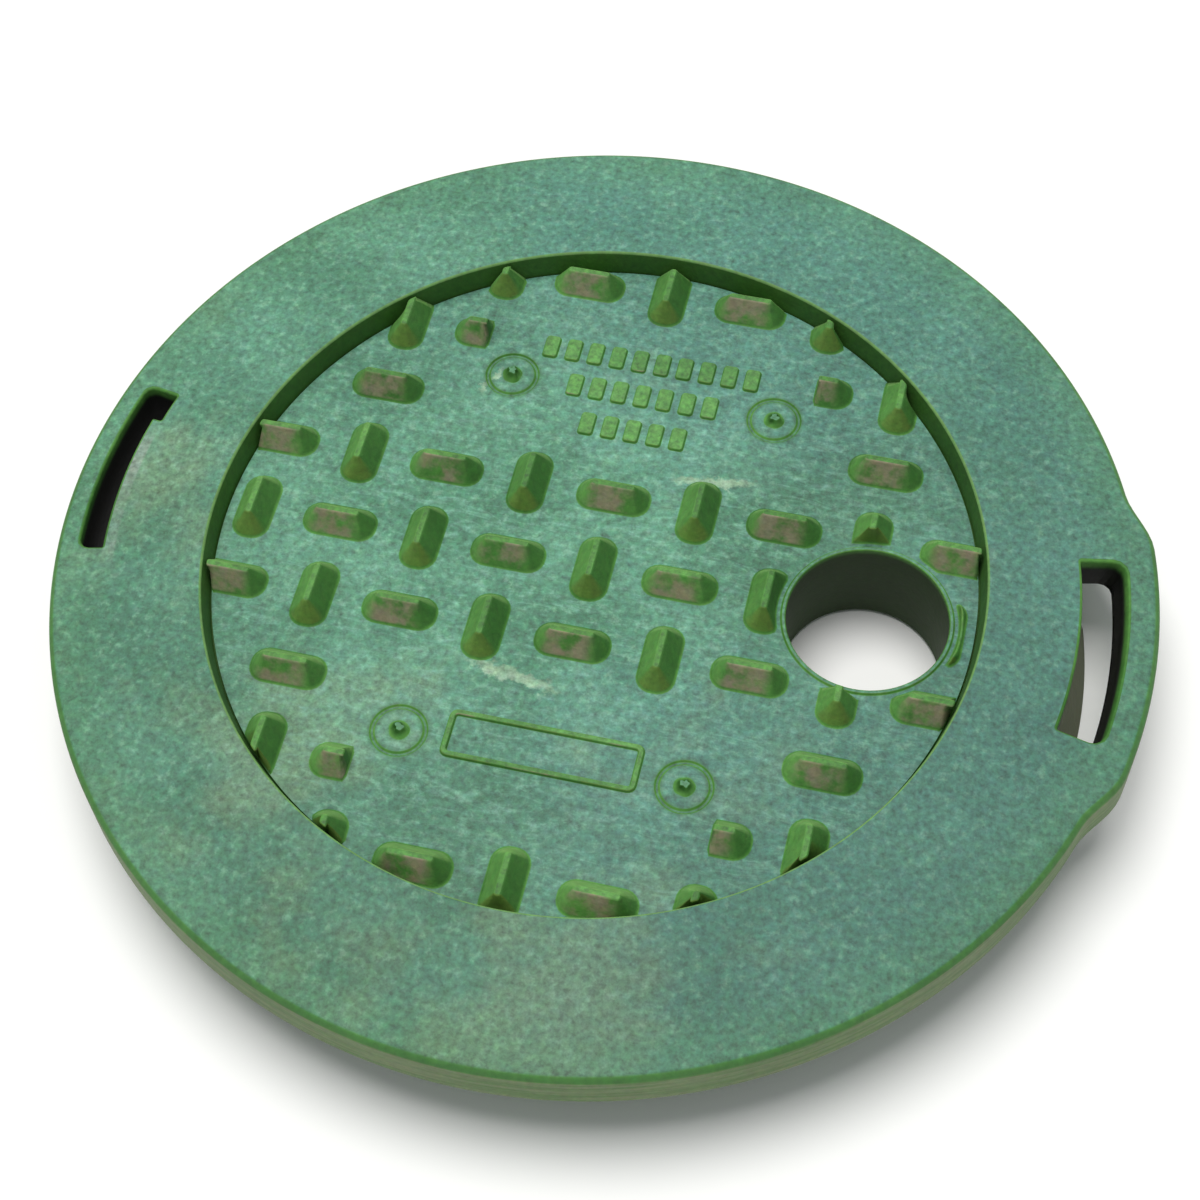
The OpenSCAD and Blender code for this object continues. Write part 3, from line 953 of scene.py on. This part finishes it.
# %% [markdown]
# ## The lid's plastic
#
# The panel has the ring's pale top, a weathered bloom with a painted sky sheen, with wavy flow streaks in
# it. Every stud is unbleached green, with painted light on its left and back sides and painted shade on its
# right sides, and the studs that lie across have brownish fronts. The gate marks' grooves and the finger
# hole's wall are painted darker as shade. The relief keeps more green than the panel round it.

# %% Lid plastic
def streak(made, cx, cy, half_l, half_w, degrees):
    """1 along a thin scuff, fading at its ends and sides."""
    a = math.radians(degrees)
    dx, dy = made.x - cx, made.y - cy
    along = (dx * math.cos(a) + dy * math.sin(a)) / half_l
    across = (dy * math.cos(a) - dx * math.sin(a) + (made.mottle - 0.5) * 6) / half_w
    return (along * along + across * across).step(1.0, 0.1)


def lid_look():
    made = Moulding("brushed green lid plastic")
    up = made.nz.step(0.88, 0.985)
    wavy = made.noise(made.vector("MULTIPLY", made.place, (90.0, 330.0, 90.0)), 1.0, 4, 0.65, warp=1.6)
    top = made.mix(wavy.step(0.46, 0.70) * 0.4, made.bleach_and_sheen(), FLOW)
    # Painted light: the panel is made lighter towards its middle.
    middle = (made.reach + made.x * 0.3).step(85, 20)
    top = made.lit(top, 1.0 + middle * 0.22)
    scuffs = (streak(made, -12, -34, 15, 2.2, -10) + streak(made, 24, 32, 13, 2.0, 8)
              + streak(made, -40, 52, 6, 1.0, 60))
    top = made.mix(scuffs * made.cloud.step(0.2, 0.5) * 0.6, top, SCUFF)

    gate_x, gate_y = abs(made.x) - GATE_X, abs(made.y) - GATE_Y
    from_gate = (gate_x * gate_x + gate_y * gate_y) ** 0.5
    # Painted shade in the gate marks' grooves.
    top = made.mix(from_gate.between(5.2, 7.6, 0.6) * 0.7, top, GROOVE_SHADE)
    top = made.mix(from_gate.step(3.6, 2.2) * 0.75, top, MOSS)
    relief = made.z.step(PANEL + 0.15, PANEL + 0.5) * from_gate.step(8, 9)
    top = made.mix(relief * 0.4, top, RELIEF)

    side = made.fresh()
    side = made.mix(from_gate.step(2.4, 1.2), side, PIP)
    column, row = round(made.x / PITCH), round(made.y / PITCH)
    odd = abs(column + row) % 2
    along = made.x - column * PITCH
    front = made.ny.step(-0.05, -0.45) * odd * along.between(-6.4, 4.6, 2.0)
    stud = made.z.step(PANEL + 0.3, PANEL + 0.9) * from_gate.step(4, 5)
    # The fronts of the studs that lie across turn brownish in patches.
    brownish_front = stud * front * made.noise(made.place, 190, 3, 0.6).step(0.32, 0.62)
    # Painted shade on the studs' right sides, painted light on their left and back sides.
    side = made.mix(made.nx.step(0.1, 0.5) * 0.6 * stud, side, STUD_RIGHT_SHADE)
    side = made.mix(made.nx.step(-0.1, -0.5) * 0.35 * stud, side, STUD_LEFT_LIGHT)
    side = made.mix(stud * made.ny.step(0.2, 0.6) * 0.45, side, STUD_BACK_LIGHT)
    near_end = stud * (1 - odd) * made.ny.step(-0.1, -0.6)
    side = made.mix(near_end * 0.5, side, STUD_NEAR_END)
    side = made.mix(brownish_front * 0.8, side, BROWNISH)

    hole_x = made.x - HOLE_X
    from_hole = (hole_x * hole_x + made.y * made.y) ** 0.5
    stud = stud * from_hole.step(HOLE_R + 1.5, HOLE_R + 2.5)
    colour = made.mix(up * (1 - stud), side, top)
    # Painted shade on the finger hole's wall.
    in_hole = from_hole.step(HOLE_R + 0.7, HOLE_R + 0.1) * made.z.step(PANEL + 0.3, PANEL - 1.5)
    colour = made.mix(in_hole * 0.9, colour, HOLE_WALL_SHADE)
    return made.surfaced(made.speckled(colour, 0.35 + up * 0.65), up)


for piece, look in ((ring, ring_look), (lid, lid_look)):
    piece.data.materials.clear()
    piece.data.materials.append(look())

# %% [markdown]
# ## Joining the pieces to the moving frame
#
# The CAD nodes stay in the file for collision, and the fine meshes are shown in their place. Each rides
# on the body that its node belongs to, so the lid's mesh lifts out when the lid does.

# %% Ride and replace
for piece, node, body, slot in ((ring, "overlap_ring", "ring", "ring_plastic"),
                                (lid, "tread_lid", "lid", "lid_plastic")):
    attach(piece, body)
    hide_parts(node)
print("pieces:", ring.name, lid.name)

# %% [markdown]
# ## Floor
#
# A plain white floor, large enough that its edge never shows, with a curve up at the back.

# %% Floor
FLOOR_HALF = 2600


def studio_floor():
    """A sheet in a few strips, the last of them curving up."""
    skin = Skin()
    depths = [(-FLOOR_HALF, 0), (-1200, 0), (1300, 0), (1700, 60), (2100, 300), (2350, 800), (2400, 1800)]
    wide = 9
    for y, z in depths:
        skin.points += [(side, y, z) for side in np.linspace(-FLOOR_HALF, FLOOR_HALF, wide)]
    for r in range(len(depths) - 1):
        for c in range(wide - 1):
            n = r * wide + c
            skin.faces.append((n, n + 1, n + wide + 1, n + wide))
    floor = skin.mesh("studio_floor")
    paint = Recipe("matt white floor")
    where = paint.node("ShaderNodeTexCoord", output="Object")
    tint = paint.noise(where, 3, 2)
    shade = paint.mix(tint, srgb(246, 246, 246), srgb(250, 250, 250))
    floor.data.materials.append(paint.finish(base_color=shade, roughness=0.9))
    floor.data.polygons.foreach_set("use_smooth", [True] * len(floor.data.polygons))
    floor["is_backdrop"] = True
    return floor


floor = studio_floor()

# %% [markdown]
# ## Camera
#
# The camera looks down at the cover at about 58 degrees, from slightly to the right, and is rolled by
# three degrees. Its place is worked out from the centre of the ring's top.

# %% Camera
AZIMUTH, ELEVATION, ROLL = (math.radians(a) for a in (15.97, 58.17, -3.04))
DISTANCE, LENS = 0.5753, 69.9                      # metres from the ring's top, and millimetres
SHIFT_RIGHT, SHIFT_UP = -0.00179, 0.01111          # how far the view is off that point, in metres

back = Vector((math.sin(AZIMUTH) * math.cos(ELEVATION), -math.cos(AZIMUTH) * math.cos(ELEVATION),
               math.sin(ELEVATION)))
level = Vector((math.cos(AZIMUTH), math.sin(AZIMUTH), 0))
steep = back.cross(level)
right = level * math.cos(ROLL) + steep * math.sin(ROLL)
upright = steep * math.cos(ROLL) - level * math.sin(ROLL)

camera = bpy.data.objects.new("camera", bpy.data.cameras.new("camera"))
bpy.context.scene.collection.objects.link(camera)
camera.data.lens, camera.data.sensor_width = LENS, 36.0
camera.data.clip_start, camera.data.clip_end = 0.01, 50.0
camera.matrix_world = Matrix((right, upright, back)).transposed().to_4x4()
camera.location = (Vector((0, 0, TOP * MM)) - right * SHIFT_RIGHT - upright * SHIFT_UP + back * DISTANCE)
bpy.context.scene.camera = camera
print("camera at", [round(v, 3) for v in camera.location])

# %% [markdown]
# ## Light
#
# One sun lamp, nearly overhead, leans a little to the back and to the left. It lights the backs and left
# sides of the studs and leaves their fronts and right sides darker, which is what makes them stand out;
# painted light and shade in the studs' colours add to this.
# Its wide angle gives shadows as soft as those under a bright cloudy sky. A pale world fills them.

# %% Sun and world
sun = bpy.data.objects.new("soft sun", bpy.data.lights.new("soft sun", "SUN"))
sun.data.energy, sun.data.angle, sun.data.color = 2.6, math.radians(38), (1.0, 0.99, 0.96)
sun.rotation_euler = Vector((-0.15, 0.17, 1)).to_track_quat("Z", "Y").to_euler()
bpy.context.scene.collection.objects.link(sun)
world = bpy.data.worlds.new("pale studio")
bpy.context.scene.world = world
world.use_nodes = True
background = world.node_tree.nodes["Background"].inputs
background["Color"].default_value = (0.95, 0.98, 1.0, 1)
background["Strength"].default_value = 0.38
bpy.context.scene.view_settings.view_transform = "Standard"

# %% [markdown]
# ## Handing over
#
# The outer box of what is shown now should fit the CAD model's, so both are written down side by side.

# %% Keep both boxes and finish
new_box = [list(corner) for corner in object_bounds()]
{"cad": cad_box, "visual": new_box}
print("visual box in metres:", new_box)
